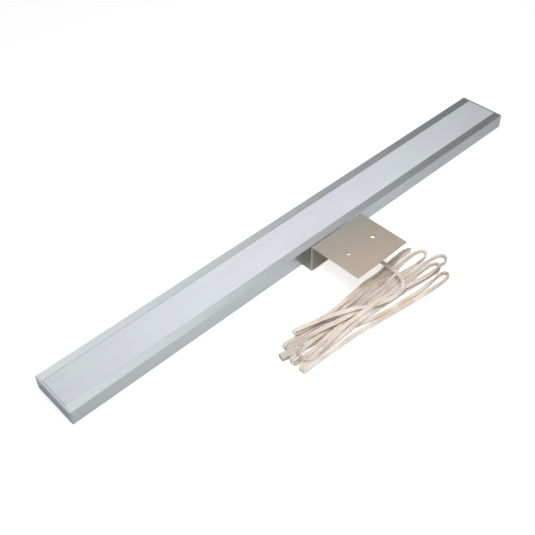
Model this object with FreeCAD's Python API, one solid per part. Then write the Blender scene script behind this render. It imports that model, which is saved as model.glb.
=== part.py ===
import FreeCAD, Part
import math
import os

from FreeCAD import Vector

# Slim 12 V light bar: an extruded aluminium channel with an opal cover, two LED boards,
# a Z-shaped mounting bracket held by nuts in the channel's rear slot, and a flat two-core
# lead that ends in a small plug. It stands with the lit side up, on the bracket's flange.
# X runs along the bar, -Y points to the mounting plate and the lead, Z = 0 is the surface
# that the flange lies on, and X = Y = 0 is the middle of the bar. All sizes in millimetres.

# ---- bar: overall sizes and extrusion ----
bar_length = 600.0
bar_width = 54.0
bar_height = 16.0
base_wall = 1.6
side_wall = 1.8
lip_width = 9.0
lip_thickness = 2.4
outer_round = 0.35
slot_mouth = 3.4
slot_width = 6.0
slot_depth = 2.8
slot_wall = 1.3
bed_thickness = 1.2
bed_leg = 1.2
guide_thickness = 1.1
hook_reach = 0.6
hook_thickness = 0.7
fit_gap = 0.15

# ---- opal cover ----
cover_gap = 0.2
cover_recess = 0.1
cover_face = 1.3
tongue_thickness = 1.1
tongue_reach = 1.5
rail_wall = 1.0
cover_end_gap = 0.3

# ---- end caps ----
cap_plate = 2.0
cap_round = 0.4
lug_length = 10.0
lug_height = 8.5
lug_to_guide = 3.8
lug_wall = 1.3

# ---- boards and what is on them ----
board_width = 25.0
board_thickness = 1.0
board_end_gap = 3.0
board_joint_gap = 2.0
tape_width = 22.0
tape_thickness = 0.25
led_size = (3.5, 2.8, 0.8)
led_rows = 2
led_row_spacing = 14.0
leds_per_row = 18
leds_per_resistor = 3
resistor_size = (3.2, 1.6, 0.55)
diode_size = (4.3, 2.6, 2.2)
diode_offset = (14.0, 6.5)
diode_chamfer = 0.3
pad_size = (3.0, 3.6, 0.1)
link_width = 1.4
link_thickness = 0.5
link_overlap = 2.2
link_spacing = 17.0

# ---- bracket ----
sheet = 1.5
bend_inside = 0.5
bracket_width = 69.0
bracket_shift = 6.0
web_gap = 11.8
plate_height = 33.5
plate_reach = 58.7
flange_behind = 20.0
corner_round = 0.6
mount_hole = 4.5
mount_spacing = 34.0
mount_from_web = 30.7
slide_travel = 6.0
screw_spacing = 44.0
screw_size = 3.0
screw_length = 5.2
screw_head = 5.5
screw_hole_gap = 0.2
head_recess = 0.1
drive_width = 1.8
drive_depth = 1.0
nut_width = 5.5
nut_height = 2.4
nut_gap = 0.1

# ---- lead, its grommets and its plug ----
lead_width = 4.4
lead_thickness = 2.2
core_diameter = 1.9
web_share = 0.75
lead_x = 21.3
lead_z = 10.5
lead_tube = 3.2
grommet_lip = 1.2
grommet_rim = 1.6
grommet_wall = 1.0
bore_gap = 0.1
web_clearance = 0.3
web_side_clearance = 0.5
tie_band = 1.0
tie_width = 2.5
tie_head = (4.6, 3.6, 3.4)
tie_setback = 0.4
jacket_past_tie = 3.0
pad_from_middle = 10.5
pad_spacing = 4.5
core_lift = 0.35
solder_height = 0.3
core_tip = 1.1
plug_length = 17.0
plug_width = 7.0
plug_height = 5.2
plug_round = 0.5
plug_turn = -17.0
plug_place = (-119.1, -100.4)
plug_cavity = 2.3
plug_pitch = 3.2
plug_cavity_depth = 11.0
plug_rib = (9.0, 2.2, 0.5)
plug_rib_setback = 0.6
contact_outer = 1.9
contact_inner = 1.1
contact_length = 8.0
contact_floor = 2.0
hank_height = 6.6
hank_gap = 0.4
arc_share = 0.45
past = 1.0

# Points of the free lead from the bar to the hank, chosen by hand.
lead_route = [
    Vector(lead_x, -28.2, lead_z),
    Vector(21.3, -44.0, 10.6),
    Vector(21.6, -63.0, 10.2),
    Vector(22.1, -83.0, 9.6),
    Vector(22.3, -102.0, 9.2),
    Vector(19.4, -115.0, 9.0),
    Vector(10.0, -123.0, 8.8),
    Vector(-3.0, -124.0, 8.2),
    Vector(-16.0, -120.0, 7.0),
    Vector(-28.0, -114.6, 5.6),
]

# Corners of the hank's outer shape, seen from above.
hank_outline = [
    (-103.0, -87.0),
    (-60.0, -92.5),
    (-5.0, -92.0),
    (40.0, -87.0),
    (57.0, -88.5),
    (68.0, -99.0),
    (74.5, -117.0),
    (72.0, -127.0),
    (59.0, -140.0),
    (44.0, -145.5),
    (0.0, -139.0),
    (-60.0, -131.5),
    (-125.0, -127.0),
    (-130.0, -118.0),
    (-128.5, -104.0),
    (-119.0, -90.0),
]

# ---- values that follow from the sizes above ----
underside = sheet
bar_top = underside + bar_height
half_width = bar_width / 2
profile_length = bar_length - 2 * cap_plate
profile_end = profile_length / 2
floor_top = underside + base_wall
slot_top = floor_top + slot_depth
bed_top = slot_top + bed_thickness
board_bottom = bed_top + tape_thickness
board_top = board_bottom + board_thickness
guide_inside = board_width / 2 + fit_gap
guide_outside = guide_inside + guide_thickness
hook_bottom = board_top + fit_gap
cover_top = bar_top - cover_recess
cover_half = half_width - lip_width - cover_gap
tongue_top = cover_top - cover_face
tongue_bottom = tongue_top - tongue_thickness
tongue_half = cover_half + tongue_reach
groove_half = tongue_half + cover_gap
rail_bottom = tongue_bottom - cover_gap / 2 - rail_wall
web_outer = -half_width - web_gap - sheet
web_inner = web_outer + sheet
plate_front = web_outer - plate_reach
bracket_low = bracket_shift - bracket_width / 2
slot_opening_z = lead_tube + 2 * web_clearance
slot_opening_x = lead_width + 2 * slide_travel + 2 * web_side_clearance
lug_width = half_width - side_wall - fit_gap - guide_outside - lug_to_guide


def box(x0, x1, y0, y1, z0, z1):
    """A box between two corners."""
    return Part.makeBox(x1 - x0, y1 - y0, z1 - z0, Vector(x0, y0, z0))


def fuse(shapes):
    """One clean solid from overlapping or touching solids."""
    result = shapes[0].multiFuse(shapes[1:]) if len(shapes) > 1 else shapes[0]
    return result.removeSplitter()


def both_sides(shape):
    """A shape and its mirror image across the bar's middle plane."""
    return [shape, shape.mirror(Vector(0, 0, 0), Vector(0, 1, 0))]


def oval_prism(width, height, y0, y1, x, z):
    """A bar along Y whose section is a slot shape, width along X and height along Z."""
    radius = height / 2
    middle = box(x - width / 2 + radius, x + width / 2 - radius, y0, y1, z - radius, z + radius)
    ends = [
        Part.makeCylinder(radius, y1 - y0, Vector(x + side * (width / 2 - radius), y0, z), Vector(0, 1, 0))
        for side in (-1, 1)
    ]
    return fuse([middle] + ends)


def round_edges(shape, radius, wanted):
    """Fillet every edge that the test accepts."""
    edges = [edge for edge in shape.Edges if wanted(edge)]
    return shape.makeFillet(radius, edges)


def runs_along(edge, axis):
    """True for a straight edge parallel to one of the three axes."""
    if not isinstance(edge.Curve, Part.Line):
        return False
    return abs(abs(edge.Curve.Direction.dot(axis)) - 1) < 1e-6


def rounded_wire(points, closed, radii=None):
    """Straight runs between points, with one tangent arc at each corner."""
    count = len(points)
    corners = range(count) if closed else range(1, count - 1)
    starts = {}
    ends = {}
    arcs = {}
    for i in corners:
        before = points[i - 1]
        here = points[i]
        after = points[(i + 1) % count]
        back = (before - here).normalize()
        ahead = (after - here).normalize()
        turn = math.pi - back.getAngle(ahead)
        shorter = min((before - here).Length, (after - here).Length)
        cut = arc_share * shorter
        radius = cut / math.tan(turn / 2)
        starts[i] = here + back * cut
        ends[i] = here + ahead * cut
        towards = (back + ahead).normalize()
        middle = here + towards * (radius / math.cos(turn / 2) - radius)
        arcs[i] = Part.Arc(starts[i], middle, ends[i]).toShape()
        if radii is not None:
            radii.append(radius)
    edges = []
    last = count if closed else count - 1
    for i in range(last):
        j = (i + 1) % count
        run_start = ends.get(i, points[i])
        run_end = starts.get(j, points[j])
        edges.append(Part.LineSegment(run_start, run_end).toShape())
        if j in arcs:
            edges.append(arcs[j])
    return Part.Wire(edges)


def tube_along(wire, radius):
    """A round tube swept along a wire."""
    first = wire.Edges[0]
    start = first.valueAt(first.FirstParameter)
    direction = first.tangentAt(first.FirstParameter)
    ring = Part.Wire(Part.makeCircle(radius, start, direction))
    return wire.makePipeShell([ring], True, False)


# ---- bar ----
def housing_profile():
    """Extruded channel: base with rear slot, side walls, lips, board bed and cover rails."""
    x0 = -profile_end
    x1 = profile_end

    def bar(y0, y1, z0, z1):
        return both_sides(box(x0, x1, y0, y1, z0, z1))

    rib = slot_width / 2 + slot_wall
    pieces = bar(slot_mouth / 2, half_width, underside, floor_top)
    pieces += bar(half_width - side_wall, half_width, underside, bar_top)
    pieces += bar(half_width - lip_width, half_width, tongue_top, bar_top)
    pieces += bar(groove_half, half_width, rail_bottom, bar_top)
    pieces += bar(slot_width / 2, rib, underside, bed_top)
    pieces += [box(x0, x1, -guide_outside, guide_outside, slot_top, bed_top)]
    pieces += bar(guide_outside - bed_leg, guide_outside, underside, bed_top)
    pieces += bar(guide_inside, guide_outside, slot_top, hook_bottom + hook_thickness)
    pieces += bar(guide_inside - hook_reach, guide_outside, hook_bottom, hook_bottom + hook_thickness)
    pieces += bar(cover_half - tongue_reach, groove_half + rail_wall, rail_bottom, rail_bottom + rail_wall)
    profile = fuse(pieces)
    relief = both_sides(
        box(x0, x1, groove_half + rail_wall, half_width - side_wall, rail_bottom, bar_top - lip_thickness)
    )
    profile = profile.cut(relief[0]).cut(relief[1])

    def outer_edge(edge):
        if not runs_along(edge, Vector(1, 0, 0)):
            return False
        at = edge.CenterOfMass
        at_side = abs(abs(at.y) - half_width) < 1e-6
        return at_side and min(abs(at.z - underside), abs(at.z - bar_top)) < 1e-6

    profile = round_edges(profile, outer_round, outer_edge)
    high = lead_thickness + 2 * (bore_gap + grommet_wall)
    wide = lead_width + 2 * (bore_gap + grommet_wall)
    outlet = oval_prism(wide, high, -half_width - past, -half_width + side_wall + past, lead_x, lead_z)
    return profile.cut(outlet)


def opal_cover():
    """Opal strip with a tongue along each side that slides in the channel's grooves."""
    end = profile_end - cover_end_gap
    face = box(-end, end, -cover_half, cover_half, tongue_bottom, cover_top)
    tongue = box(-end, end, -tongue_half, tongue_half, tongue_bottom, tongue_top - cover_gap / 2)
    return fuse([face, tongue])


def end_cap(side):
    """Cap plate with two hollow lugs that plug into the channel; side is -1 or 1."""
    near = profile_end
    far = profile_end + cap_plate
    plate = box(near, far, -half_width, half_width, underside, bar_top)

    def outside_edge(edge):
        at = edge.CenterOfMass
        return abs(at.x - far) < 1e-6 or runs_along(edge, Vector(1, 0, 0))

    plate = round_edges(plate, cap_round, outside_edge)
    lug_out = half_width - side_wall - fit_gap
    lug_low = floor_top + fit_gap
    lug = box(near - lug_length, near, lug_out - lug_width, lug_out, lug_low, lug_low + lug_height)
    pocket = box(
        near - lug_length - past, near - lug_wall,
        lug_out - lug_width + lug_wall, lug_out - lug_wall,
        lug_low + lug_wall, lug_low + lug_height - lug_wall,
    )
    cap = fuse([plate] + both_sides(lug.cut(pocket)))
    if side < 0:
        cap = cap.mirror(Vector(0, 0, 0), Vector(1, 0, 0))
    return cap


# ---- light source ----
def board_span(side):
    """The near and far X of the board on one side of the bar."""
    near = board_joint_gap / 2
    far = profile_end - board_end_gap
    return (near, far) if side > 0 else (-far, -near)


def led_board(side):
    """Flat board that slides under the channel's hooks."""
    x0, x1 = board_span(side)
    return box(x0, x1, -board_width / 2, board_width / 2, board_bottom, board_top)


def thermal_tape(side):
    """Heat-conducting tape between the board and its bed."""
    x0, x1 = board_span(side)
    return box(x0, x1, -tape_width / 2, tape_width / 2, bed_top, board_bottom)


def led_places(side):
    """X of each LED column on one board."""
    x0, x1 = board_span(side)
    pitch = (x1 - x0) / leds_per_row
    return [x0 + pitch * (i + 0.5) for i in range(leds_per_row)]


def led_group(side):
    """Rows of surface-mounted LEDs."""
    length, width, height = led_size
    chips = []
    for x in led_places(side):
        for row in range(led_rows):
            y = led_row_spacing * (row - (led_rows - 1) / 2)
            chips.append(box(x - length / 2, x + length / 2, y - width / 2, y + width / 2,
                             board_top, board_top + height))
    return Part.makeCompound(chips)


def resistor_group(side):
    """One resistor in the middle of the board for each string of LEDs."""
    length, width, height = resistor_size
    places = led_places(side)
    chips = []
    for i in range(leds_per_resistor // 2, leds_per_row, leds_per_resistor):
        x = places[i]
        chips.append(box(x - length / 2, x + length / 2, -width / 2, width / 2,
                         board_top, board_top + height))
    return Part.makeCompound(chips)


def board_link():
    """Two metal bridges that carry current from one board to the other."""
    half = board_joint_gap / 2 + link_overlap
    bridges = []
    for side in (-1, 1):
        y = side * link_spacing / 2
        bridges.append(box(-half, half, y - link_width / 2, y + link_width / 2,
                           board_top, board_top + link_thickness))
    return Part.makeCompound(bridges)


def input_diode():
    """Diode that protects the boards from a lead wired the wrong way round."""
    length, width, height = diode_size
    x = lead_x + diode_offset[0]
    y = diode_offset[1] - board_width / 2 + width / 2
    top = board_top + height
    body = box(x - length / 2, x + length / 2, y - width / 2, y + width / 2, board_top, top)
    return body.makeChamfer(diode_chamfer, [edge for edge in body.Edges if edge.BoundBox.ZMin > top - 1e-6])


def core_x(side):
    """X of one core of the flat lead."""
    return lead_x + side * lead_width / 4


def pad_x(side):
    """X of one solder pad."""
    return lead_x + side * pad_spacing / 2


def solder_pads():
    """Two pads on the board where the lead's cores end."""
    length, width, height = pad_size
    pads = []
    for side in (-1, 1):
        x = pad_x(side)
        pads.append(box(x - length / 2, x + length / 2, -pad_from_middle - width / 2,
                        -pad_from_middle + width / 2, board_top, board_top + height))
    return Part.makeCompound(pads)


def tie_back():
    """Y of the pull-stop tie's inner face."""
    return -half_width + side_wall + grommet_lip + tie_setback + tie_width


def inner_core(side):
    """Insulated core from the end of the jacket over the board's edge and down to its pad."""
    radius = core_diameter / 2
    y0 = tie_back() + jacket_past_tie
    pad_top = board_top + pad_size[2]
    end = Vector(pad_x(side), -pad_from_middle + fit_gap, pad_top + radius + solder_height)
    points = [
        Vector(core_x(side), y0, lead_z),
        Vector(core_x(side), y0 + radius * 2, lead_z),
        Vector(pad_x(side), -board_width / 2 - fit_gap, lead_z + core_lift),
        end,
    ]
    core = tube_along(rounded_wire(points, False), radius)
    joint = Part.makeCylinder(core_tip / 2, end.z - pad_top, Vector(end.x, end.y, pad_top))
    return fuse([core, joint])


# ---- lead ----
def lead_section(y0, y1):
    """Straight piece of the flat two-core lead: two round cores with a web between them."""
    radius = lead_thickness / 2
    cores = [
        Part.makeCylinder(radius, y1 - y0, Vector(core_x(side), y0, lead_z), Vector(0, 1, 0))
        for side in (-1, 1)
    ]
    web_half = radius * web_share
    web = box(core_x(-1), core_x(1), y0, y1, lead_z - web_half, lead_z + web_half)
    return fuse(cores + [web])


def lead_inside():
    """The lead's jacketed end, from the grommet's outer face to past the pull-stop tie."""
    return lead_section(-half_width - grommet_lip, tie_back() + jacket_past_tie)


def outlet_grommet():
    """Rubber grommet in the bar's side wall, with a lip on each side of it."""
    outer = -half_width - grommet_lip
    inner = -half_width + side_wall + grommet_lip
    neck_wide = lead_width + 2 * (bore_gap + grommet_wall)
    neck_high = lead_thickness + 2 * (bore_gap + grommet_wall)
    rim_wide = neck_wide + 2 * grommet_rim
    rim_high = neck_high + 2 * grommet_rim
    neck = oval_prism(neck_wide, neck_high, outer, inner, lead_x, lead_z)
    lips = [
        oval_prism(rim_wide, rim_high, outer, -half_width, lead_x, lead_z),
        oval_prism(rim_wide, rim_high, -half_width + side_wall, inner, lead_x, lead_z),
    ]
    bore = oval_prism(lead_width + 2 * bore_gap, lead_thickness + 2 * bore_gap,
                      outer - past, inner + past, lead_x, lead_z)
    return fuse([neck] + lips).cut(bore)


def pull_stop_tie():
    """Nylon tie round the lead that keeps a pull off the solder joints."""
    y1 = tie_back()
    y0 = y1 - tie_width
    band = oval_prism(lead_width + 2 * (bore_gap + tie_band), lead_thickness + 2 * (bore_gap + tie_band),
                      y0, y1, lead_x, lead_z)
    length, depth, height = tie_head
    head_x = lead_x + lead_width / 2 + tie_band
    head = box(head_x, head_x + length, y0, y0 + depth, lead_z - height / 2, lead_z + height / 2)
    hole = oval_prism(lead_width + 2 * bore_gap, lead_thickness + 2 * bore_gap,
                      y0 - past, y1 + past, lead_x, lead_z)
    return fuse([band, head]).cut(hole)


def free_lead():
    """The lead between the bar and the hank."""
    radii = []
    wire = rounded_wire(lead_route, False, radii)
    solid = tube_along(wire, lead_tube / 2)
    ideal = math.pi * lead_tube ** 2 / 4 * wire.Length
    print("lead radii", [round(radius, 1) for radius in radii])
    print("lead length %.1f, volume %.1f, section times length %.1f" % (wire.Length, solid.Volume, ideal))
    return solid


def plug_frame(shape):
    """Turn and move a shape built along +X from the plug's middle to where the plug lies."""
    placed = shape.copy()
    placed.rotate(Vector(0, 0, 0), Vector(0, 0, 1), plug_turn)
    placed.translate(Vector(plug_place[0], plug_place[1], 0))
    return placed


def plug_housing():
    """Two-way plug: open at its front end, with a keying rib on top."""
    half = plug_length / 2
    body = box(-half, half, -plug_width / 2, plug_width / 2, 0, plug_height)
    body = round_edges(body, plug_round, lambda edge: runs_along(edge, Vector(1, 0, 0)))
    rib_length, rib_width, rib_height = plug_rib
    rib_start = -half + plug_rib_setback
    rib = box(rib_start, rib_start + rib_length, -rib_width / 2, rib_width / 2,
              plug_height - plug_round, plug_height + rib_height)
    body = fuse([body, rib])
    middle = plug_height / 2
    for side in (-1, 1):
        y = side * plug_pitch / 2
        cavity = Part.makeCylinder(plug_cavity / 2, plug_cavity_depth + past,
                                   Vector(-half - past, y, middle), Vector(1, 0, 0))
        core = Part.makeCylinder(core_diameter / 2 + bore_gap, plug_length,
                                 Vector(0, y, middle), Vector(1, 0, 0))
        body = body.cut(cavity).cut(core)
    return plug_frame(body)


def plug_contacts():
    """Two tubular contacts in the plug's cavities."""
    half = plug_length / 2
    contacts = []
    for side in (-1, 1):
        y = side * plug_pitch / 2
        start = Vector(-half + plug_cavity_depth - contact_length, y, plug_height / 2)
        sleeve = Part.makeCylinder(contact_outer / 2, contact_length, start, Vector(1, 0, 0))
        bore = Part.makeCylinder(contact_inner / 2, contact_length - contact_floor, start, Vector(1, 0, 0))
        contacts.append(plug_frame(sleeve.cut(bore)))
    return Part.makeCompound(contacts)


def cable_hank():
    """The outer shape of the loose hank of lead, cut back round the plug."""
    corners = [Vector(x, y, 0) for x, y in hank_outline]
    wire = rounded_wire(corners, True)
    slab = Part.Face(wire).extrude(Vector(0, 0, hank_height))
    half = plug_length / 2 + hank_gap
    side = plug_width / 2 + hank_gap
    room = plug_frame(box(-half - plug_length, half, -side, side, -past, hank_height + past))
    kept = slab.cut(room)
    return max(kept.Solids, key=lambda solid: solid.Volume)


# ---- bracket ----
def z_bracket():
    """Folded sheet: flange under the bar, web in front of it, plate with two screw holes."""
    x0 = bracket_low
    x1 = bracket_low + bracket_width
    flange = box(x0, x1, web_outer, flange_behind, 0, sheet)
    web = box(x0, x1, web_outer, web_inner, 0, plate_height)
    plate = box(x0, x1, plate_front, web_inner, plate_height - sheet, plate_height)
    body = fuse([flange, web, plate])

    def edge_near(y, z):
        def test(edge):
            at = edge.CenterOfMass
            return runs_along(edge, Vector(1, 0, 0)) and abs(at.y - y) < 1e-6 and abs(at.z - z) < 1e-6
        return test

    bend_outside = bend_inside + sheet
    body = round_edges(body, bend_inside, edge_near(web_inner, sheet))
    body = round_edges(body, bend_outside, edge_near(web_outer, 0))
    body = round_edges(body, bend_inside, edge_near(web_outer, plate_height - sheet))
    body = round_edges(body, bend_outside, edge_near(web_inner, plate_height))

    def sheet_corner(edge):
        at = edge.CenterOfMass
        at_end = min(abs(at.y - plate_front), abs(at.y - flange_behind)) < 1e-6
        return runs_along(edge, Vector(0, 0, 1)) and at_end

    body = round_edges(body, corner_round, sheet_corner)
    for side in (-1, 1):
        hole_x = bracket_shift + side * mount_spacing / 2
        start = Vector(hole_x, web_outer - mount_from_web, plate_height - sheet - past)
        body = body.cut(Part.makeCylinder(mount_hole / 2, sheet + 2 * past, start))
    hole = screw_size / 2 + screw_hole_gap
    sink = screw_head / 2 + screw_hole_gap
    for x in screw_places():
        body = body.cut(Part.makeCylinder(hole, sheet + 2 * past, Vector(x, 0, -past)))
        body = body.cut(Part.makeCone(sink + past, sink - sheet, sheet + past, Vector(x, 0, -past)))
    opening = oval_prism(slot_opening_x + 2 * grommet_wall, slot_opening_z + 2 * grommet_wall,
                         web_outer - past, web_inner + past, lead_x, lead_z)
    return body.cut(opening)


def screw_places():
    """X of the two screws that hold the bracket."""
    return [bracket_shift + side * screw_spacing / 2 for side in (-1, 1)]


def web_grommet():
    """Soft edging round the web's long hole, wide enough for the bracket to slide past the lead."""
    wide = slot_opening_x + 2 * grommet_wall
    high = slot_opening_z + 2 * grommet_wall
    outer = web_outer - grommet_lip
    inner = web_inner + grommet_lip
    neck = oval_prism(wide, high, outer, inner, lead_x, lead_z)
    lips = [
        oval_prism(wide + 2 * grommet_rim, high + 2 * grommet_rim, y0, y0 + grommet_lip, lead_x, lead_z)
        for y0 in (outer, web_inner)
    ]
    bore = oval_prism(slot_opening_x, slot_opening_z, outer - past, inner + past, lead_x, lead_z)
    return fuse([neck] + lips).cut(bore)


def bracket_screws():
    """Countersunk screws from under the flange into the slot nuts."""
    screws = []
    for x in screw_places():
        head_depth = (screw_head - screw_size) / 2
        head = Part.makeCone(screw_head / 2, screw_size / 2, head_depth, Vector(x, 0, head_recess))
        shank = Part.makeCylinder(screw_size / 2, screw_length, Vector(x, 0, head_recess))
        socket = Part.makeCylinder(drive_width / 2, drive_depth, Vector(x, 0, head_recess))
        screws.append(fuse([head, shank]).cut(socket))
    return Part.makeCompound(screws)


def slot_nuts():
    """Square nuts that slide in the channel's rear slot."""
    nuts = []
    low = floor_top + nut_gap
    for x in screw_places():
        nut = box(x - nut_width / 2, x + nut_width / 2, -nut_width / 2, nut_width / 2, low, low + nut_height)
        hole = Part.makeCylinder(screw_size / 2, nut_height, Vector(x, 0, low))
        nuts.append(nut.cut(hole))
    return Part.makeCompound(nuts)


parts = {
    "housing_profile": housing_profile(),
    "opal_cover": opal_cover(),
    "end_cap_left": end_cap(-1),
    "end_cap_right": end_cap(1),
    "led_board_left": led_board(-1),
    "led_board_right": led_board(1),
    "thermal_tape_left": thermal_tape(-1),
    "thermal_tape_right": thermal_tape(1),
    "leds_left": led_group(-1),
    "leds_right": led_group(1),
    "resistors_left": resistor_group(-1),
    "resistors_right": resistor_group(1),
    "board_link": board_link(),
    "input_diode": input_diode(),
    "solder_pads": solder_pads(),
    "core_minus": inner_core(-1),
    "core_plus": inner_core(1),
    "lead_inside": lead_inside(),
    "outlet_grommet": outlet_grommet(),
    "pull_stop_tie": pull_stop_tie(),
    "lead_tube": free_lead(),
    "cable_hank": cable_hank(),
    "plug_housing": plug_housing(),
    "plug_contacts": plug_contacts(),
    "z_bracket": z_bracket(),
    "web_grommet": web_grommet(),
    "bracket_screws": bracket_screws(),
    "slot_nuts": slot_nuts(),
}

os.makedirs("parts", exist_ok=True)
for node, shape in parts.items():
    shape.exportStep(os.path.join("parts", node + ".step"))
    print("%-20s solids %d valid %s volume %.1f" % (node, len(shape.Solids), shape.isValid(), shape.Volume))
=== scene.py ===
"""Looks of a slim 12 V light bar: an aluminium channel with an opal cover, a Z-shaped
mounting bracket and a loose hank of flat two-core lead that ends in a small plug.

X runs along the bar, -Y points to the mounting plate and the lead, and Z = 0 is the surface
that it all stands on. Sizes are in metres unless a name says otherwise.
"""
import logging
from dataclasses import dataclass, field
from enum import Enum
from typing import Optional, Sequence, Union

import bpy
import numpy as np
from mathutils import Matrix


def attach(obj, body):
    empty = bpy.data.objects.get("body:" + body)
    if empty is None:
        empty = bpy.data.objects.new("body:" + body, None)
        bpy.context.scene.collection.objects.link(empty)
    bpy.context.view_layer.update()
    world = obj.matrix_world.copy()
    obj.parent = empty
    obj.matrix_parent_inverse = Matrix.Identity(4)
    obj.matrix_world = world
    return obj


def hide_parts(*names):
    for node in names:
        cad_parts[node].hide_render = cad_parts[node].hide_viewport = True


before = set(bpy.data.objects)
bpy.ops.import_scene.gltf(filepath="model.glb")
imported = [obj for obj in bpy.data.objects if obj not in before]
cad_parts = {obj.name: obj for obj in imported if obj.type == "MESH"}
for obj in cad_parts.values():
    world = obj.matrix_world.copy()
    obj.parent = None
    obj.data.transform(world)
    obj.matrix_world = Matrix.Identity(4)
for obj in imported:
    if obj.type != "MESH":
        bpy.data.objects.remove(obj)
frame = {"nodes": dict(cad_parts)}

log = logging.getLogger("light_bar")

MM = 0.001
SEED = 20
TINY = 1e-9
WHITE = (1.0, 1.0, 1.0, 1.0)
SCATTER_DEPTH = 1.0 * MM

Pair = tuple[float, float]
Triple = tuple[float, float, float]
Quad = tuple[float, float, float, float]
Socket = bpy.types.NodeSocket
Tree = bpy.types.NodeTree


def linear(red: int, green: int, blue: int) -> Quad:
    """Turns a display colour into the linear one that shaders take.

    Args:
        red: red share, 0 to 255.
        green: green share, 0 to 255.
        blue: blue share, 0 to 255.

    Returns:
        Linear red, green and blue, and an alpha of 1.
    """
    share = np.array([red, green, blue]) / 255.0
    value = np.where(share <= 0.04045, share / 12.92, ((share + 0.055) / 1.055) ** 2.4)
    return (*[float(v) for v in value], 1.0)


def placed(name: str, data: bpy.types.ID) -> bpy.types.Object:
    """Makes an object of its data and puts it in the scene, at the origin.

    Args:
        name: the object's name.
        data: its mesh, curve, light or camera.

    Returns:
        The object.
    """
    made = bpy.data.objects.new(name, data)
    bpy.context.scene.collection.objects.link(made)
    return made


def mapped(tree: Tree, value: Socket, span: Quad, way: str = "LINEAR") -> Socket:
    """Maps a value from one span onto another, and holds it there.

    Args:
        tree: the tree that gets the node.
        value: the value to map.
        span: its lowest and highest value, and what each of them becomes.
        way: how it goes from the one to the other.

    Returns:
        The mapped value.
    """
    node = tree.nodes.new("ShaderNodeMapRange")
    node.interpolation_type = way
    for socket, number in zip(("From Min", "From Max", "To Min", "To Max"), span):
        node.inputs[socket].default_value = number
    tree.links.new(value, node.inputs["Value"])
    return node.outputs[0]


def times(tree: Tree, value: Socket, factor: float) -> Socket:
    """Multiplies a value by a number.

    Args:
        tree: the tree that gets the node.
        value: the value.
        factor: the number.

    Returns:
        The product.
    """
    node = tree.nodes.new("ShaderNodeMath")
    node.operation = "MULTIPLY"
    node.inputs[1].default_value = factor
    tree.links.new(value, node.inputs[0])
    return node.outputs[0]


def tinted(tree: Tree, colour: Union[Socket, Triple], tint: Triple, share: Socket,
           blend: str = "MIX") -> Socket:
    """Blends a fixed colour into another.

    Args:
        tree: the tree that gets the node.
        colour: the colour to start from, as a socket or a display colour.
        tint: the display colour to blend in.
        share: how much of it, 0 to 1.
        blend: how the two go together.

    Returns:
        The blended colour.
    """
    node = tree.nodes.new("ShaderNodeMix")
    node.data_type = "RGBA"
    node.blend_type = blend
    node.inputs["B"].default_value = linear(*tint)
    if isinstance(colour, tuple):
        node.inputs["A"].default_value = linear(*colour)
    else:
        tree.links.new(colour, node.inputs["A"])
    tree.links.new(share, node.inputs["Factor"])
    return node.outputs["Result"]


def raised(tree: Tree, height: Socket, strength: float, depth: float) -> Socket:
    """Turns a height into the normal of a surface with that relief.

    Args:
        tree: the tree that gets the node.
        height: the height, 0 to 1.
        strength: how much of the relief shows.
        depth: how deep it is, in metres.

    Returns:
        The normal.
    """
    node = tree.nodes.new("ShaderNodeBump")
    node.inputs["Strength"].default_value = strength
    node.inputs["Distance"].default_value = depth
    tree.links.new(height, node.inputs["Height"])
    return node.outputs[0]


class Pattern(Enum):
    """How the fine detail of a finish runs: its size in repeats per metre along X, Y and Z."""

    DRAWN = (25.0, 1500.0, 1500.0)
    ROLLED = (900.0, 60.0, 900.0)
    EVEN = (700.0, 700.0, 700.0)
    FINE = (1800.0, 1800.0, 1800.0)
    CLOUDED = (14.0, 60.0, 60.0)


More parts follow.
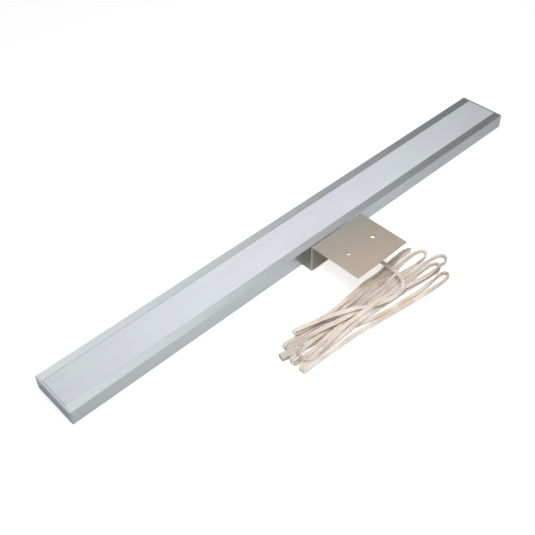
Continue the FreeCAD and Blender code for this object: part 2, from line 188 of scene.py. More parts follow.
class Groups:
    """The shader node groups that several finishes share, each built once."""

    grain_span: Quad = (0.3, 0.7, 0.0, 1.0)
    grain_detail: float = 4.0
    cloud_scale: float = 12.0
    cloud_detail: float = 2.0

    def __init__(self) -> None:
        """Builds both groups."""
        self.grain = self._grain()
        self.clouds = self._clouds()

    @staticmethod
    def _new(name: str, inputs: dict[str, Optional[float]], outputs: Sequence[str]) -> Tree:
        """Makes an empty group with its sockets.

        Args:
            name: the group's name.
            inputs: each input's default if it is a number, or None if it is a vector.
            outputs: names of the outputs, which are numbers.

        Returns:
            The group.
        """
        tree = bpy.data.node_groups.new(name, "ShaderNodeTree")
        for label, value in inputs.items():
            kind = "NodeSocketVector" if value is None else "NodeSocketFloat"
            socket = tree.interface.new_socket(label, in_out="INPUT", socket_type=kind)
            if value is not None:
                socket.default_value = value
        for label in outputs:
            tree.interface.new_socket(label, in_out="OUTPUT", socket_type="NodeSocketFloat")
        return tree

    def _grain(self) -> Tree:
        """Noise stretched by a scale per axis, as a mask and as a height.

        Returns:
            The group: Mask is the noise's middle part spread from 0 to 1, Height is the noise.
        """
        tree = self._new("surface_grain", {"Vector": None, "Stretch": None,
                                           "Detail": self.grain_detail}, ["Mask", "Height"])
        nodes, links = tree.nodes, tree.links
        source, out = nodes.new("NodeGroupInput"), nodes.new("NodeGroupOutput")
        scaled = nodes.new("ShaderNodeVectorMath")
        scaled.operation = "MULTIPLY"
        noise = nodes.new("ShaderNodeTexNoise")
        noise.inputs["Scale"].default_value = 1.0
        links.new(source.outputs["Vector"], scaled.inputs[0])
        links.new(source.outputs["Stretch"], scaled.inputs[1])
        links.new(scaled.outputs[0], noise.inputs["Vector"])
        links.new(source.outputs["Detail"], noise.inputs["Detail"])
        links.new(mapped(tree, noise.outputs[0], self.grain_span), out.inputs["Mask"])
        links.new(noise.outputs[0], out.inputs["Height"])
        return tree

    def _clouds(self) -> Tree:
        """Slow drift of tone over a surface.

        Returns:
            The group: Mask is 0 to 1.
        """
        tree = self._new("slow_drift", {"Vector": None, "Scale": self.cloud_scale}, ["Mask"])
        nodes, links = tree.nodes, tree.links
        source, out = nodes.new("NodeGroupInput"), nodes.new("NodeGroupOutput")
        noise = nodes.new("ShaderNodeTexNoise")
        noise.inputs["Detail"].default_value = self.cloud_detail
        links.new(source.outputs["Vector"], noise.inputs["Vector"])
        links.new(source.outputs["Scale"], noise.inputs["Scale"])
        links.new(noise.outputs[0], out.inputs["Mask"])
        return tree

    def drift(self, tree: Tree, place: Socket, scale: float) -> Socket:
        """Adds the slow drift to a material.

        Args:
            tree: the material's tree.
            place: where on the surface, in metres.
            scale: repeats per metre.

        Returns:
            The mask.
        """
        node = tree.nodes.new("ShaderNodeGroup")
        node.node_tree = self.clouds
        node.inputs["Scale"].default_value = scale
        tree.links.new(place, node.inputs["Vector"])
        return node.outputs["Mask"]


@dataclass(frozen=True)
class Finish:
    """A finish whose colour, gloss and relief vary finely over the surface, with an optional
    painted shade and reflection tint multiplied in along Y.
    """

    slot: str
    light: Triple
    dark: Triple
    roughness: Pair
    pattern: Pattern = Pattern.EVEN
    metallic: float = 0.0
    relief: float = 0.15
    relief_depth: float = 0.05 * MM
    drift: float = 12.0
    grain_share: float = 0.5
    # Optional painted shade and reflection: a colour multiplied into the finish along object Y,
    # fully at the span's high end.
    painted_shade_reflection_tint: Optional[Triple] = None
    painted_shade_reflection_span: Pair = (0.0, 1.0)

    def build(self, groups: Groups) -> bpy.types.Material:
        """Builds the material.

        Args:
            groups: the shared shader groups.

        Returns:
            A material named after the slot.
        """
        material = bpy.data.materials.new(self.slot)
        material.use_nodes = True
        tree = material.node_tree
        nodes, links = tree.nodes, tree.links
        shader = nodes["Principled BSDF"]
        place = nodes.new("ShaderNodeTexCoord").outputs["Object"]
        grain = nodes.new("ShaderNodeGroup")
        grain.node_tree = groups.grain
        grain.inputs["Stretch"].default_value = self.pattern.value
        links.new(place, grain.inputs["Vector"])
        slow = groups.drift(tree, place, self.drift)
        both = nodes.new("ShaderNodeMath")
        both.operation = "MULTIPLY_ADD"
        both.inputs[1].default_value = self.grain_share
        links.new(grain.outputs["Mask"], both.inputs[0])
        links.new(times(tree, slow, 1.0 - self.grain_share), both.inputs[2])
        tone = tinted(tree, self.dark, self.light, both.outputs[0])
        # Painted shade and reflection: the tint is multiplied in towards the high Y end of its
        # span.
        if self.painted_shade_reflection_tint is not None:
            parts = nodes.new("ShaderNodeSeparateXYZ")
            links.new(place, parts.inputs[0])
            painted_shade_share = mapped(tree, parts.outputs["Y"], (*self.painted_shade_reflection_span, 0.0, 1.0))
            tone = tinted(tree, tone, self.painted_shade_reflection_tint, painted_shade_share, "MULTIPLY")
        links.new(tone, shader.inputs["Base Color"])
        gloss = mapped(tree, both.outputs[0], (0.0, 1.0, *self.roughness))
        links.new(gloss, shader.inputs["Roughness"])
        normal = raised(tree, grain.outputs["Height"], self.relief, self.relief_depth)
        links.new(normal, shader.inputs["Normal"])
        shader.inputs["Metallic"].default_value = self.metallic
        return material


@dataclass(frozen=True)
class LeadFinish:
    """Milky jacket over one copper core and one tinned core, with a groove between them;
    painted shade darkens both outer edges and the groove.

    It reads the lead's own UV map: U goes once round the section from the edge of the
    copper core, V is the length along the lead in metres.
    """

    slot: str = "lead_pvc"
    jacket: Triple = (251, 244, 234)
    # Painted shade: the darker colour at both outer edges of the lead.
    edge: Triple = (170, 154, 144)
    copper_side: Triple = (218, 168, 110)
    tinned_side: Triple = (182, 168, 165)
    # Painted shade: the dark colour in the groove between the cores.
    groove: Triple = (110, 92, 80)
    roughness: float = 0.32
    drift: float = 55.0
    milkiness: Quad = (0.38, 0.62, 0.0, 0.5)
    relief: float = 0.1
    relief_depth: float = 0.1 * MM
    subsurface: float = 0.15

    def across(self, tree: Tree) -> Socket:
        """Where a point is across the lead: (1 + cos(2 pi U)) / 2.

        Args:
            tree: the material's tree.

        Returns:
            0 at the tinned core's edge, 1 at the copper core's edge.
        """
        nodes, links = tree.nodes, tree.links
        uv = nodes.new("ShaderNodeUVMap")
        uv.uv_map = "lead"
        parts = nodes.new("ShaderNodeSeparateXYZ")
        links.new(uv.outputs[0], parts.inputs[0])
        cosine = nodes.new("ShaderNodeMath")
        cosine.operation = "COSINE"
        links.new(times(tree, parts.outputs[0], 2 * np.pi), cosine.inputs[0])
        return mapped(tree, cosine.outputs[0], (-1.0, 1.0, 0.0, 1.0))

    def stripes(self, tree: Tree) -> Socket:
        """The colours across the lead, with painted shade at both outer edges and in the
        groove.

        Args:
            tree: the material's tree.

        Returns:
            The colour.
        """
        # The edge and groove stops are painted shade; the other stops are the jacket and the
        # cores seen through it.
        stops = ((0.0, self.edge), (0.09, self.jacket), (0.2, self.tinned_side),
                 (0.4, self.jacket), (0.5, self.groove), (0.6, self.jacket),
                 (0.8, self.copper_side), (0.91, self.jacket), (1.0, self.edge))
        ramp = tree.nodes.new("ShaderNodeValToRGB")
        bar = ramp.color_ramp.elements
        bar[0].color, bar[-1].color = linear(*stops[0][1]), linear(*stops[-1][1])
        for position, colour in stops[1:-1]:
            bar.new(position).color = linear(*colour)
        tree.links.new(self.across(tree), ramp.inputs[0])
        return ramp.outputs[0]

    def build(self, groups: Groups) -> bpy.types.Material:
        """Builds the material.

        Args:
            groups: the shared shader groups.

        Returns:
            A material named after the slot.
        """
        material = bpy.data.materials.new(self.slot)
        material.use_nodes = True
        tree = material.node_tree
        links, shader = tree.links, tree.nodes["Principled BSDF"]
        place = tree.nodes.new("ShaderNodeTexCoord").outputs["Object"]
        drift = groups.drift(tree, place, self.drift)
        milky = mapped(tree, drift, self.milkiness)
        links.new(tinted(tree, self.stripes(tree), self.jacket, milky),
                  shader.inputs["Base Color"])
        links.new(raised(tree, drift, self.relief, self.relief_depth),
                  shader.inputs["Normal"])
        shader.inputs["Roughness"].default_value = self.roughness
        shader.inputs["Subsurface Weight"].default_value = self.subsurface
        shader.inputs["Subsurface Scale"].default_value = SCATTER_DEPTH
        return material


FINISHES: tuple[Finish, ...] = (
    Finish("anodised_aluminium", (225, 230, 232), (208, 213, 216), (0.28, 0.38),
           Pattern.DRAWN, metallic=1.0, relief=0.10, relief_depth=0.03 * MM),
    Finish("opal_plastic", (225, 234, 232), (221, 219, 231), (0.38, 0.46),
           Pattern.CLOUDED, relief=0.04, drift=9.0),
    Finish("cap_plastic", (208, 212, 221), (196, 200, 210), (0.34, 0.42),
           Pattern.EVEN, metallic=0.85, relief=0.12),
    # bracket_steel: the warm beige tone is partly the steel's own and partly a painted
    # reflection of the lead hank in front; the bluish-grey tint multiplied in near the bar
    # (full at Y -0.032, none at -0.092) is painted shade and reflection of the bar.
    Finish("bracket_steel", (250, 231, 209), (240, 222, 204), (0.34, 0.44),
           Pattern.ROLLED, metallic=1.0, relief=0.10, relief_depth=0.03 * MM,
           painted_shade_reflection_tint=(212, 227, 240), painted_shade_reflection_span=(-0.092, -0.032)),
    Finish("board_laminate", (240, 240, 236), (226, 227, 222), (0.35, 0.5), relief=0.05),
    Finish("tape_grey", (150, 152, 154), (132, 134, 137), (0.7, 0.85), relief=0.3),
    Finish("led_package", (238, 214, 128), (250, 238, 196), (0.3, 0.45), Pattern.FINE),
    Finish("chip_black", (48, 48, 50), (30, 30, 32), (0.4, 0.55), Pattern.FINE),
    Finish("tinned_copper", (206, 206, 204), (180, 180, 178), (0.22, 0.38),
           Pattern.FINE, metallic=1.0),
    Finish("core_insulation", (212, 72, 60), (190, 58, 48), (0.4, 0.5)),
    Finish("grommet_rubber", (52, 52, 54), (38, 38, 40), (0.55, 0.7), relief=0.25),
    Finish("tie_nylon", (232, 230, 222), (220, 217, 208), (0.4, 0.5)),
    Finish("plug_plastic", (222, 214, 208), (206, 198, 193), (0.38, 0.5), relief=0.12),
    Finish("contact_metal", (214, 198, 150), (196, 178, 128), (0.2, 0.32),
           Pattern.FINE, metallic=1.0),
    Finish("zinc_steel", (196, 198, 200), (170, 172, 176), (0.24, 0.4),
           Pattern.FINE, metallic=1.0),
)


@dataclass
class Wardrobe:
    """The built finishes, by slot."""

    groups: Groups = field(default_factory=Groups)
    materials: dict[str, bpy.types.Material] = field(default_factory=dict)

    def build(self) -> None:
        """Builds every finish once."""
        for finish in (*FINISHES, LeadFinish()):
            self.materials[finish.slot] = finish.build(self.groups)
            log.info("finish %s", finish.slot)

    def dress(self, node: bpy.types.Object, slot: str) -> None:
        """Gives every face of a piece one finish.

        Args:
            node: the piece.
            slot: the record's slot.
        """
        node.data.materials.clear()
        node.data.materials.append(self.materials[slot])


@dataclass
class Lamp:
    """The metal, plastic and electrical pieces, which keep their CAD shape."""

    slots: dict[str, str] = field(default_factory=lambda: {
        "housing_profile": "anodised_aluminium", "opal_cover": "opal_plastic",
        "end_cap_left": "cap_plastic", "end_cap_right": "cap_plastic",
        "led_board_left": "board_laminate", "led_board_right": "board_laminate",
        "thermal_tape_left": "tape_grey", "thermal_tape_right": "tape_grey",
        "leds_left": "led_package", "leds_right": "led_package",
        "resistors_left": "chip_black", "resistors_right": "chip_black",
        "board_link": "tinned_copper", "input_diode": "chip_black",
        "solder_pads": "tinned_copper", "core_minus": "core_insulation",
        "core_plus": "core_insulation", "lead_inside": "lead_pvc",
        "outlet_grommet": "grommet_rubber", "pull_stop_tie": "tie_nylon",
        "plug_housing": "plug_plastic", "plug_contacts": "contact_metal",
        "z_bracket": "bracket_steel", "web_grommet": "grommet_rubber",
        "bracket_screws": "zinc_steel", "slot_nuts": "zinc_steel"})

    def dress(self, nodes: dict[str, bpy.types.Object], wardrobe: Wardrobe) -> None:
        """Gives each CAD node its finish.

        Args:
            nodes: the CAD nodes by name.
            wardrobe: the built finishes.
        """
        for name, slot in self.slots.items():
            wardrobe.dress(nodes[name], slot)
            log.info("dressed %s in %s", name, slot)


# The free lead's points from the bar to the hank.
LEAD_ROUTE: tuple[Triple, ...] = (
    (0.0213, -0.0282, 0.0105), (0.0213, -0.0440, 0.0106), (0.0216, -0.0630, 0.0102),
    (0.0221, -0.0830, 0.0096), (0.0223, -0.1020, 0.0092), (0.0194, -0.1150, 0.0090),
    (0.0100, -0.1230, 0.0088), (-0.0030, -0.1240, 0.0082), (-0.0160, -0.1200, 0.0070),
    (-0.0280, -0.1146, 0.0056),
)

# Where each run of the hank passes, in millimetres, from the lead's end to the plug.
HANK_RUNS: tuple[tuple[Pair, ...], ...] = (
    ((-39, -110), (-48, -106.5), (-58, -102.5), (-74, -97.5), (-90, -93), (-101, -90)),
    ((-100, -91.5), (-86, -94), (-60, -96), (-20, -94), (10, -90.5), (30, -88), (48, -86.5)),
    ((49, -93), (30, -93), (0, -95.5), (-30, -98), (-60, -98), (-95, -94.5), (-115, -91)),
    ((-114, -94.5), (-95, -98), (-60, -101), (-20, -100), (10, -99), (40, -96),
     (55, -95.7)),
    ((56, -107), (30, -105), (0, -104), (-30, -104.5), (-60, -105), (-100, -106.5),
     (-122, -108)),
    ((-122, -111.5), (-100, -112.5), (-80, -112), (-60, -110), (0, -109), (50, -111.5),
     (66, -113)),
    ((64, -127), (45, -127.5), (25, -123), (5, -118.5), (-30, -115.5), (-62, -114),
     (-85, -117), (-103, -120.5)),
    ((-95, -103.2), (-84, -104), (-60, -108), (-30, -112), (0, -115), (30, -116.5),
     (52, -117)),
    ((54, -128), (32, -123.8), (0, -120.3), (-30, -118.8), (-60, -119), (-100, -118),
     (-121, -118.8)),
    ((-122, -123), (-100, -123.5), (-60, -126), (-30, -130), (0, -134.3), (28, -138.8),
     (48, -140.6)),
    ((48, -132.6), (30, -132.6), (10, -130.8), (-10, -128.7), (-28, -125.3), (-42, -121.5),
     (-58, -115.5), (-75, -110), (-94, -106.5), (-104, -105)),
)

# The turns after each run but the last, in millimetres. An empty one is a fold in which the
# flat lead goes back over itself.
HANK_TURNS: tuple[tuple[Pair, ...], ...] = (
    (), ((54, -86.2), (58.5, -87.2), (60, -89.6), (58, -92), (54, -92.9)), (),
    ((62, -96), (67.5, -98.2), (69.5, -101.5), (67.5, -104.8), (62, -106.8)), (),
    ((72, -114.3), (77, -116.6), (78, -120), (75.5, -123.6), (70, -126)),
    ((-111, -120.5), (-116, -118.5), (-118, -114), (-116, -109.3), (-111, -105.5),
     (-103, -103.6)),
    ((58, -117.4), (63, -119.4), (65, -122.4), (63.5, -125.6), (59, -127.6)), (),
    ((54, -140.6), (59.5, -139.2), (61.5, -136.2), (59, -133.3), (54, -132.4)),
)

# The order in which the runs lie on each other, the lowest first.
HANK_ORDER: tuple[int, ...] = (10, 9, 8, 5, 4, 3, 7, 6, 2, 1, 0)


@dataclass
class FreeLead:
    """The flat lead outside the bar: its route to the hank, the hank, and its section."""

    width: float = 4.4 * MM
    thickness: float = 2.2 * MM
    length: float = 2.10
    exit: Triple = LEAD_ROUTE[0]
    plug_rear: Triple = (-110.9 * MM, -102.9 * MM, 2.6 * MM)
    plug_middle: Pair = (-119.1 * MM, -100.4 * MM)
    plug_half: Pair = (8.5 * MM, 3.5 * MM)
    plug_margin: Pair = (1.5 * MM, 2.0 * MM)
    plug_top: float = 5.7 * MM
    plug_turn: float = float(np.radians(-17.0))
    step: float = 9.0 * MM
    fewest: int = 3
    blend: float = 3.0
    dense: int = 5
    fold_rise: float = 3.4 * MM
    fold_reach: float = 2.6 * MM
    fold_points: int = 5
    fold_share: float = 0.02
    reach: float = 3.6 * MM
    ease: Triple = (0.25, 0.5, 0.25)
    section_points: int = 24
    web_share: float = 0.75
    level_share: float = 0.5
    tilt: float = float(np.radians(12.0))
    edge_roll: float = float(np.radians(82.0))
    spline_order: int = 3
    spline_steps: int = 8

    @staticmethod
    def gone(line: np.ndarray) -> np.ndarray:
        """How far along a line each of its points is.

        Args:
            line: the line's points.

        Returns:
            The running sum of the distances between them, from 0.
        """
        return np.concatenate([[0.0], np.cumsum(np.linalg.norm(np.diff(line, axis=0),
                                                               axis=1))])

    def rise(self, count: int, last: int) -> np.ndarray:
        """A share that goes from 0 to 1 over the few points before one of a strand.

        Args:
            count: how many points the strand has.
            last: the point at which the share gets to 1.

        Returns:
            (place - last + blend) / blend, held between 0 and 1.
        """
        place = np.arange(count, dtype=float)
        return np.clip((place - (last - self.blend)) / self.blend, 0.0, 1.0)

    def run_line(self, run: Sequence[Pair]) -> np.ndarray:
        """Points of one run of the hank, an even step apart along it.

        Args:
            run: where the run passes, in millimetres.

        Returns:
            x and y of each point, read from straight pieces between the run's own points.
        """
        through = np.array(run) * MM
        gone = self.gone(through)
        count = max(self.fewest, int(round(gone[-1] / self.step)) + 1)
        places = np.linspace(0.0, gone[-1], count)
        return np.stack([np.interp(places, gone, through[:, 0]),
                         np.interp(places, gone, through[:, 1])], axis=1)

    def resting_height(self, flat: np.ndarray, below: np.ndarray) -> np.ndarray:
        """How high the surface under each point is: the floor, the plug or earlier strands.

        Args:
            flat: x and y of the points.
            below: x, y and top of every strand point that lies there already.

        Returns:
            The height of what each point lies on.
        """
        gap = np.linalg.norm(flat[:, None, :] - below[None, :, :2], axis=2)
        lifted = np.where(gap < self.reach, below[None, :, 2], 0.0).max(axis=1)
        cos, sin = np.cos(self.plug_turn), np.sin(self.plug_turn)
        off = flat - np.array(self.plug_middle)
        along = np.abs(off[:, 0] * cos + off[:, 1] * sin)
        across = np.abs(off[:, 1] * cos - off[:, 0] * sin)
        on_plug = ((along < self.plug_half[0] + self.plug_margin[0])
                   & (across < self.plug_half[1] + self.plug_margin[1]))
        return np.maximum(lifted, np.where(on_plug, self.plug_top, 0.0))

    def eased(self, height: np.ndarray) -> np.ndarray:
        """Heights with their steps made into slopes.

        Args:
            height: heights along a strand.

        Returns:
            The highest of each three in a row, then a weighted mean of each three of those.
        """
        padded = np.pad(height, 1, mode="edge")
        high = np.max([padded[:-2], padded[1:-1], padded[2:]], axis=0)
        padded = np.pad(high, 1, mode="edge")
        before, here, after = self.ease
        return before * padded[:-2] + here * padded[1:-1] + after * padded[2:]

    def hank(self) -> tuple[np.ndarray, np.ndarray, np.ndarray]:
        """Control points of the hank, each run laid on those that come before it in order.

        Returns:
            The points from the lead's end to the plug, the roll of the flat section at each,
            where 0 lies flat and a quarter turn stands on edge, and whether it is in a fold.
        """
        chance = np.random.default_rng(SEED)
        below = np.zeros((1, 3))
        strands: dict[int, np.ndarray] = {}
        rolls: dict[int, np.ndarray] = {}
        for index in HANK_ORDER:
            line = self.run_line(HANK_RUNS[index])
            turn = HANK_TURNS[index] if index < len(HANK_TURNS) else ()
            flat = np.vstack([line, np.array(turn) * MM]) if turn else line
            place = np.arange(len(flat), dtype=float)
            roll = self.eased(np.abs(chance.normal(0.0, self.tilt, len(flat))))
            roll *= 1.0 if index % 2 else -1.0
            if turn:
                late = self.rise(len(flat), len(line) - 1)
                roll = roll * (1 - late) + late * self.edge_roll
            if index and HANK_TURNS[index - 1]:
                early = self.rise(len(flat), len(flat) - 1)[::-1]
                roll = roll * (1 - early) + early * self.edge_roll
            half = 0.5 * (self.thickness * np.abs(np.cos(roll))
                          + self.width * np.abs(np.sin(roll)))
            height = self.eased(self.resting_height(flat, below)) + half
            if index == len(HANK_RUNS) - 1:
                near = self.rise(len(flat), len(flat) - 1)
                height = height * (1 - near) + near * self.plug_rear[2]
                roll = roll * (1 - near)
            fine = np.linspace(0, len(flat) - 1, self.dense * len(flat))
            tops = np.column_stack([flat, height + half])
            below = np.vstack([below, np.column_stack(
                [np.interp(fine, place, tops[:, axis]) for axis in range(3)])])
            strands[index] = np.column_stack([flat, height])
            rolls[index] = roll
        return self.joined(strands, rolls)

    def joined(self, strands: dict[int, np.ndarray], rolls: dict[int, np.ndarray],
               ) -> tuple[np.ndarray, np.ndarray, np.ndarray]:
        """Joins the runs in order, with a fold at each end that has no turn.

        At a fold the upper run's last points rise in a straight slope until it clears the
        lower one, and both lie flat.

        Args:
            strands: points of each run and the turn after it.
            rolls: roll of the section at each of them.

        Returns:
            All points, all rolls, and whether each is in a fold, from the lead's end on.
        """
        for index in range(len(HANK_RUNS) - 1):
            if HANK_TURNS[index]:
                continue
            one, other = strands[index], strands[index + 1]
            upper, lower = (one, other[::-1]) if one[-1, 2] >= other[0, 2] else (
                other[::-1], one)
            lift = max(0.0, lower[-1, 2] + self.fold_rise - upper[-1, 2])
            upper[:, 2] += self.rise(len(upper), len(upper) - 1) * lift
            rolls[index][-1] = rolls[index + 1][0] = 0.0
        points, turns, folded = [], [], []
        for index in range(len(HANK_RUNS)):
            points.append(strands[index])
            turns.append(rolls[index])
            folded.append(np.zeros(len(strands[index])))
            if index < len(HANK_TURNS) and not HANK_TURNS[index]:
                fold = self.fold(strands[index][-1], strands[index + 1][0])
                points.append(fold)
                turns.append(np.zeros(len(fold)))
                folded.append(np.ones(len(fold)))
        return np.vstack(points), np.concatenate(turns), np.concatenate(folded)

    def fold(self, start: np.ndarray, end: np.ndarray) -> np.ndarray:
        """Points of a fold: half a turn from one end to the other that bulges towards -X.

        Args:
            start: where the one run ends.
            end: where the next begins.

        Returns:
            The middle of the two, plus half their distance times the cosine, plus the reach
            times the sine, at even angles between them.
        """
        angle = np.linspace(0.0, np.pi, self.fold_points + 2)[1:-1]
        reach = np.array([-self.fold_reach, 0.0, 0.0])
        return (start + end) / 2 + np.outer(np.cos(angle), (start - end) / 2) + np.outer(
            np.sin(angle), reach)

    def spline_line(self, control: np.ndarray) -> np.ndarray:
        """Points of the smooth line that the control points pull.

        Args:
            control: control points in metres.

        Returns:
            Points read from the spline, in order.
        """
        data = bpy.data.curves.new("lead_line", "CURVE")
        data.dimensions = "3D"
        data.resolution_u = self.spline_steps
        spline = data.splines.new("NURBS")
        spline.points.add(len(control) - 1)
        spline.points.foreach_set("co", np.column_stack(
            [control, np.ones(len(control))]).ravel())
        spline.order_u = self.spline_order
        spline.use_endpoint_u = True
        holder = placed("lead_line", data)
        mesh = bpy.data.meshes.new_from_object(holder)
        line = np.empty(len(mesh.vertices) * 3)
        mesh.vertices.foreach_get("co", line)
        bpy.data.objects.remove(holder)
        bpy.data.meshes.remove(mesh)
        return line.reshape(-1, 3)

    def section(self) -> np.ndarray:
        """Outline of the flat twin lead about its middle.

        Returns:
            Across and up for each point: half the width times the cosine, and a height that
            is that of the nearer core's circle, but never under the web between the cores.
        """
        angle = np.linspace(0.0, 2 * np.pi, self.section_points, endpoint=False)
        radius = self.thickness / 2
        centre = self.width / 2 - radius
        across = (self.width / 2) * np.cos(angle)
        circle = np.sqrt(np.clip(radius ** 2 - (np.abs(across) - centre) ** 2, 0.0, None))
        inside = np.abs(across) < centre
        up = np.where(inside, np.maximum(circle, radius * self.web_share), circle)
        return np.column_stack([across, up * np.sign(np.sin(angle) + TINY)])

    def side_vectors(self, line: np.ndarray, in_fold: np.ndarray,
                     ) -> tuple[np.ndarray, np.ndarray]:
        """The lead's level side direction all along its line.

        Args:
            line: the centreline.
            in_fold: whether each of its points is in a fold.

        Returns:
            Side and upright directions. The side is up times the heading; through a fold, where
            the lead goes straight up or down, it is carried over from both sides.
        """
        heading = np.gradient(line, axis=0)
        heading /= np.linalg.norm(heading, axis=1, keepdims=True)
        side = np.cross([0.0, 0.0, 1.0], heading)
        size = np.linalg.norm(side, axis=1)
        sound = (size > self.level_share) & ~in_fold
        place = np.arange(len(line))
        known = side[sound] / size[sound, None]
        sign = np.sign(np.sum(known[1:] * known[:-1], axis=1))
        known *= np.concatenate([[1.0], np.cumprod(sign)])[:, None]
        side = np.column_stack([np.interp(place, place[sound], known[:, k]) for k in range(3)])
        side -= heading * np.sum(side * heading, axis=1, keepdims=True)
        side /= np.linalg.norm(side, axis=1, keepdims=True)
        return side, np.cross(heading, side)

    def tube(self, line: np.ndarray, wide: np.ndarray, thin: np.ndarray) -> bpy.types.Mesh:
        """The lead's mesh: its section carried along a line, with both ends closed.

        Args:
            line: the centreline.
            wide: the direction of the section's width at each point.
            thin: the direction of its thickness.

        Returns:
            The mesh, smooth, without its map.
        """
        ring = self.section()
        verts = (line[:, None, :] + ring[None, :, :1] * wide[:, None, :]
                 + ring[None, :, 1:] * thin[:, None, :]).reshape(-1, 3)
        rings, count = len(line), len(ring)
        first = np.arange(rings - 1)[:, None] * count
        here = np.arange(count)[None, :]
        after = (here + 1) % count
        quads = np.stack([first + here, first + after, first + count + after,
                          first + count + here], axis=2).reshape(-1, 4)
        ends = [list(range(count))[::-1],
                list(range((rings - 1) * count, rings * count))]
        mesh = bpy.data.meshes.new("flat_lead")
        mesh.from_pydata(verts.tolist(), [], quads.tolist() + ends)
        mesh.polygons.foreach_set("use_smooth", np.ones(len(mesh.polygons), dtype=bool))
        return mesh

    def add_map(self, mesh: bpy.types.Mesh, gone: np.ndarray) -> None:
        """Adds the UV map: U once round the section, V the length in metres.

        Args:
            mesh: the lead's mesh.
            gone: how far along the lead each ring is.
        """
        count, rows = self.section_points, len(gone) - 1
        share = np.arange(count) / count
        u_quad = np.stack([share, share + 1 / count, share + 1 / count, share], axis=1)
        u_all = np.broadcast_to(u_quad[None], (rows, count, 4))
        v_all = np.stack([gone[:-1], gone[:-1], gone[1:], gone[1:]], axis=1)[:, None, :]
        v_all = np.broadcast_to(v_all, (rows, count, 4))
        cap = np.column_stack([share, np.zeros(count)])
        uv = np.vstack([np.stack([u_all, v_all], axis=3).reshape(-1, 2), cap[::-1], cap])
        layer = mesh.uv_layers.new(name="lead")
        layer.data.foreach_set("uv", uv.astype(np.float32).ravel())
        mesh.update()

    def build(self, wardrobe: Wardrobe, nodes: dict[str, bpy.types.Object]) -> None:
        """Args:
            wardrobe: the built finishes.
            nodes: the CAD nodes by name; not used.
        """
        hank, roll, folded = self.hank()
        route = np.array(LEAD_ROUTE)
        control = np.vstack([route, hank, [self.plug_rear]])
        roll = np.concatenate([np.zeros(len(route)), roll, [0.0]])
        folded = np.concatenate([np.zeros(len(route)), folded, [0.0]])
        line = self.spline_line(control)
        where, place = np.linspace(0.0, len(control) - 1, len(line)), np.arange(len(control))
        in_fold = np.interp(where, place, folded) > self.fold_share
        side, upright = self.side_vectors(line, in_fold)
        turned = np.interp(where, place, roll)[:, None]
        wide = np.cos(turned) * side + np.sin(turned) * upright
        thin = np.cos(turned) * upright - np.sin(turned) * side
        mesh = self.tube(line, wide, thin)
        gone = self.gone(line)
        self.add_map(mesh, gone)
        lead = placed("flat_lead", mesh)
        wardrobe.dress(lead, "lead_pvc")
        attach(lead, "lamp")
        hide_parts("lead_tube", "cable_hank")
        log.info("flat_lead: %d rings, %.3f m long", len(line), gone[-1])


@dataclass(frozen=True)
class Softbox:
    """A square lamp that shines on the origin and isn't seen in reflections."""

    name: str
    place: Triple
    size: float
    power: float

    def build(self) -> None:
        """Builds the lamp."""
        data = bpy.data.lights.new(self.name, "AREA")
        data.size = self.size
        data.energy = self.power
        lamp = placed(self.name, data)
        lamp.location = self.place
        lamp.visible_glossy = False
        lamp.rotation_euler = (-lamp.location).to_track_quat("-Z", "Y").to_euler()


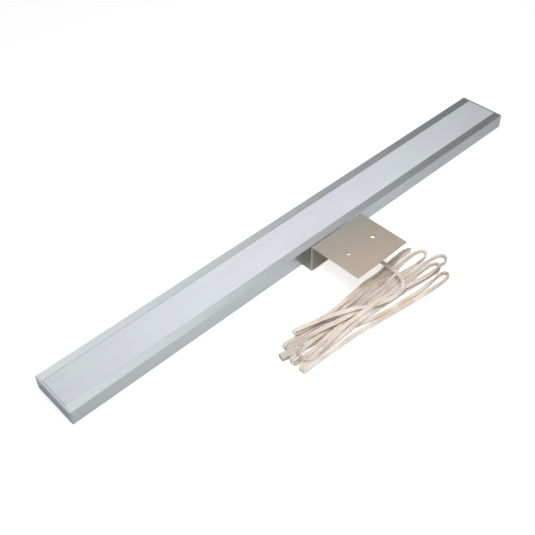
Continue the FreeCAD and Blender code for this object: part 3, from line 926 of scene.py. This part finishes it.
@dataclass
class Studio:
    """Floor, lights, world and camera."""

    floor_half: float = 4.0
    floor_tone: float = 0.72
    floor_glow: float = 0.66
    lamps: tuple[Softbox, ...] = (Softbox("key", (-0.06, -0.12, 0.44), 0.40, 1.45),
                                  Softbox("fill", (0.0, -1.4, 0.38), 1.0, 4.4))
    world_fall: Quad = (0.30, 0.78, 1.0, 0.08)
    world_share: float = 0.42
    focal_length: float = 54.73
    sensor_width: float = 36.0
    clip: Pair = (0.01, 50.0)
    camera_place: Triple = (-0.43636, -0.43570, 0.56882)
    camera_axes: tuple[Triple, Triple, Triple] = (
        (0.7284864, 0.4978704, -0.4705663),
        (-0.6843532, 0.4976825, -0.5328911),
        (-0.0311181, 0.7102375, 0.7032741))

    def build_floor(self) -> None:
        """A pale floor that keeps its shadows and is otherwise white to the camera."""
        half = self.floor_half
        mesh = bpy.data.meshes.new("floor")
        mesh.from_pydata([(-half, -half, 0), (half, -half, 0), (half, half, 0),
                          (-half, half, 0)], [], [(0, 1, 2, 3)])
        floor = placed("floor", mesh)
        material = bpy.data.materials.new("floor_white")
        material.use_nodes = True
        tree = material.node_tree
        nodes, links = tree.nodes, tree.links
        nodes.clear()
        out = nodes.new("ShaderNodeOutputMaterial")
        matt = nodes.new("ShaderNodeBsdfDiffuse")
        matt.inputs["Color"].default_value = (*[self.floor_tone] * 3, 1.0)
        glow = nodes.new("ShaderNodeEmission")
        path = nodes.new("ShaderNodeLightPath")
        links.new(times(tree, path.outputs["Is Camera Ray"], self.floor_glow),
                  glow.inputs["Strength"])
        both = nodes.new("ShaderNodeAddShader")
        links.new(matt.outputs[0], both.inputs[0])
        links.new(glow.outputs[0], both.inputs[1])
        links.new(both.outputs[0], out.inputs[0])
        mesh.materials.append(material)

    def build_world(self) -> None:
        """A world that is white to the camera and lights softly, less so from the +X side."""
        world = bpy.data.worlds.new("studio")
        bpy.context.scene.world = world
        world.use_nodes = True
        tree = world.node_tree
        nodes, links = tree.nodes, tree.links
        parts = nodes.new("ShaderNodeSeparateXYZ")
        links.new(nodes.new("ShaderNodeTexCoord").outputs["Generated"], parts.inputs[0])
        path = nodes.new("ShaderNodeLightPath")
        light = nodes.new("ShaderNodeMath")
        light.operation = "MULTIPLY"
        links.new(mapped(tree, parts.outputs["X"], self.world_fall, "SMOOTHSTEP"),
                  light.inputs[0])
        links.new(mapped(tree, path.outputs["Is Glossy Ray"],
                         (0.0, 1.0, self.world_share, 1.0)), light.inputs[1])
        seen = nodes.new("ShaderNodeMix")
        seen.data_type = "FLOAT"
        seen.inputs["B"].default_value = 1.0
        links.new(path.outputs["Is Camera Ray"], seen.inputs["Factor"])
        links.new(light.outputs[0], seen.inputs["A"])
        back = nodes["Background"]
        links.new(seen.outputs[0], back.inputs["Strength"])
        back.inputs["Color"].default_value = WHITE

    def build_camera(self) -> None:
        """The camera, from its place and the directions of its three axes."""
        data = bpy.data.cameras.new("camera")
        data.lens = self.focal_length
        data.sensor_width = self.sensor_width
        data.clip_start, data.clip_end = self.clip
        camera = placed("camera", data)
        turn = Matrix(self.camera_axes).to_4x4()
        camera.matrix_world = Matrix.Translation(self.camera_place) @ turn
        bpy.context.scene.camera = camera

    def build(self) -> None:
        """Builds all of it, with plain view settings."""
        self.build_floor()
        for lamp in self.lamps:
            lamp.build()
        self.build_world()
        self.build_camera()
        bpy.context.scene.view_settings.view_transform = "Standard"
        log.info("studio ready")


def main() -> None:
    """Builds the finishes, dresses the lamp, lays the lead and sets the studio round them."""
    logging.basicConfig(level=logging.INFO, format="%(message)s")
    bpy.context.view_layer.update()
    wardrobe = Wardrobe()
    wardrobe.build()
    Lamp().dress(frame["nodes"], wardrobe)
    FreeLead().build(wardrobe, frame["nodes"])
    Studio().build()


if __name__ == "__main__":
    main()
